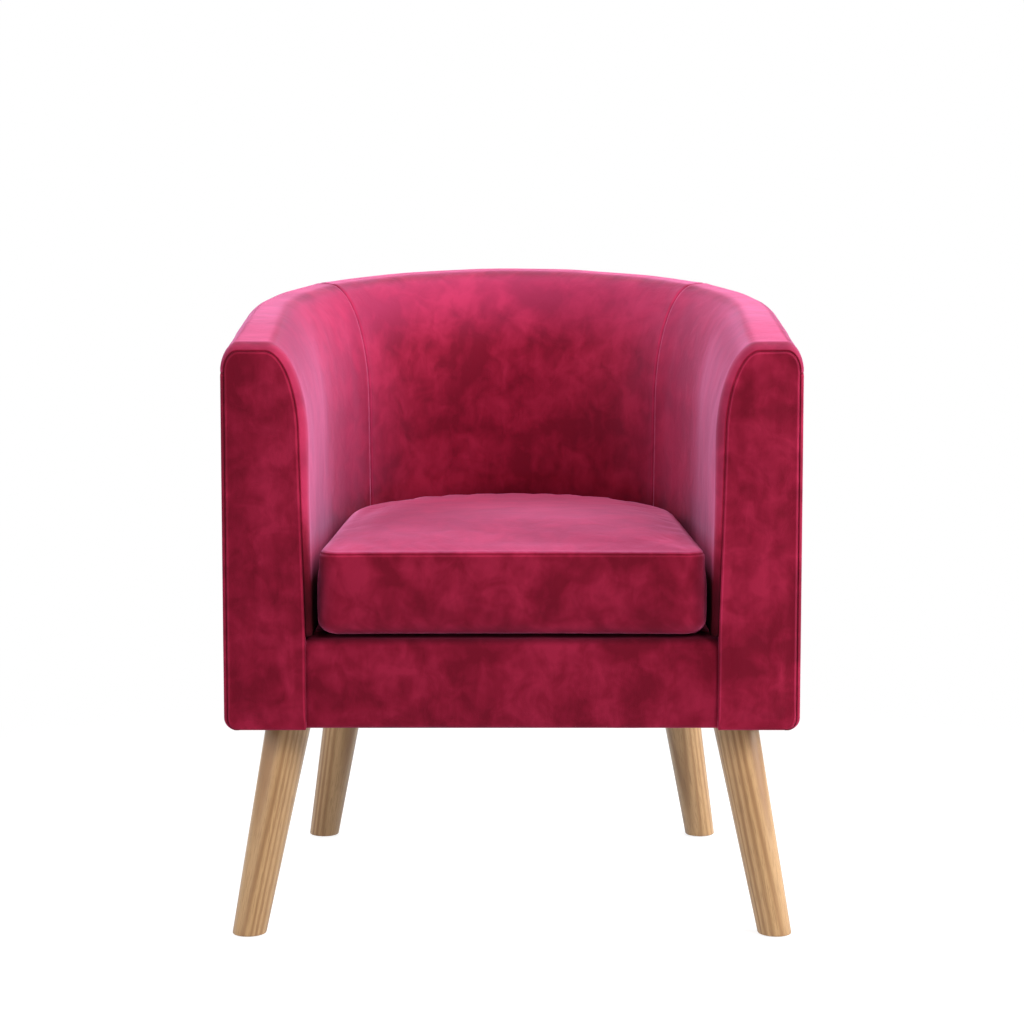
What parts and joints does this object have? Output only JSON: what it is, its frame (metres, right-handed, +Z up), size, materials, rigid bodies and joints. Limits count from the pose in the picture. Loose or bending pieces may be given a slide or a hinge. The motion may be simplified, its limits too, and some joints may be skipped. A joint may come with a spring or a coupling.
{
  "type": "tub armchair",
  "caption": "Velvet tub chair with a rolled wraparound back and arms, a loose boxed seat cushion and splayed tapered wooden legs.",
  "frame": {"origin": "centre of the footprint box on the floor, under the glides", "axes": "+Z up; the front of the chair faces -Y; +X is on the right as seen from the front"},
  "size_m": [0.66, 0.616, 0.7679],
  "materials": {
    "velvet": "cut-pile velvet with a soft pink sheen",
    "oak": "clear satin lacquer",
    "plywood": "bare",
    "hardboard": "bare",
    "foam": "open-cell foam",
    "felt": "pressed felt",
    "dust_cloth": "non-woven cloth",
    "zip_tape": "woven tape with a nylon coil",
    "zip_metal": "enamelled to match",
    "zinc_steel": "zinc plated",
    "nylon": "moulded"
  },
  "bodies": {
    "chair_frame": {"left_front_leg": "oak", "right_front_leg": "oak", "left_rear_leg": "oak", "right_rear_leg": "oak", "leg_glides": "nylon", "leg_bolts": "zinc_steel", "leg_tee_nuts": "zinc_steel", "front_seat_rail": "plywood", "left_side_rail": "plywood", "right_side_rail": "plywood", "rear_seat_rail": "plywood", "left_front_post": "plywood", "right_front_post": "plywood", "left_side_post": "plywood", "right_side_post": "plywood", "left_rear_post": "plywood", "right_rear_post": "plywood", "back_studs": "plywood", "left_arm_rail": "plywood", "right_arm_rail": "plywood", "back_top_rail": "plywood", "front_corner_blocks": "plywood", "rear_corner_blocks": "plywood", "block_screws": "zinc_steel", "seat_springs": "zinc_steel", "spring_clips": "zinc_steel", "spring_felt": "felt", "deck_foam": "foam", "deck_cloth": "velvet", "left_inner_board": "hardboard", "right_inner_board": "hardboard", "back_inner_board": "hardboard", "left_outer_board": "hardboard", "right_outer_board": "hardboard", "back_outer_board": "hardboard", "left_arm_foam": "foam", "right_arm_foam": "foam", "back_foam": "foam", "border_foam": "foam", "left_facing_pad": "foam", "right_facing_pad": "foam", "left_inside_cover": "velvet", "right_inside_cover": "velvet", "inside_back_cover": "velvet", "left_outside_cover": "velvet", "right_outside_cover": "velvet", "outside_back_cover": "velvet", "left_facing_cover": "velvet", "right_facing_cover": "velvet", "border_cover": "velvet", "dust_cover": "dust_cloth"},
    "seat_cushion": {"cushion_foam": "foam", "cushion_cover": "velvet", "cushion_zip": "zip_tape"},
    "zip_slider": {"zip_slider": "zip_metal"}
  },
  "joints": [
    {"name": "seat_cushion_lift", "type": "slide", "parent": "chair_frame", "child": "seat_cushion", "axis": [0, 0, 1], "range_m": [0, 0.45]},
    {"name": "zip_slide", "type": "hinge", "parent": "seat_cushion", "child": "zip_slider", "pos_m": [0, -0.015, 0.401], "axis": [0, 0, 1], "range_deg": [0, 52]}
  ]
}
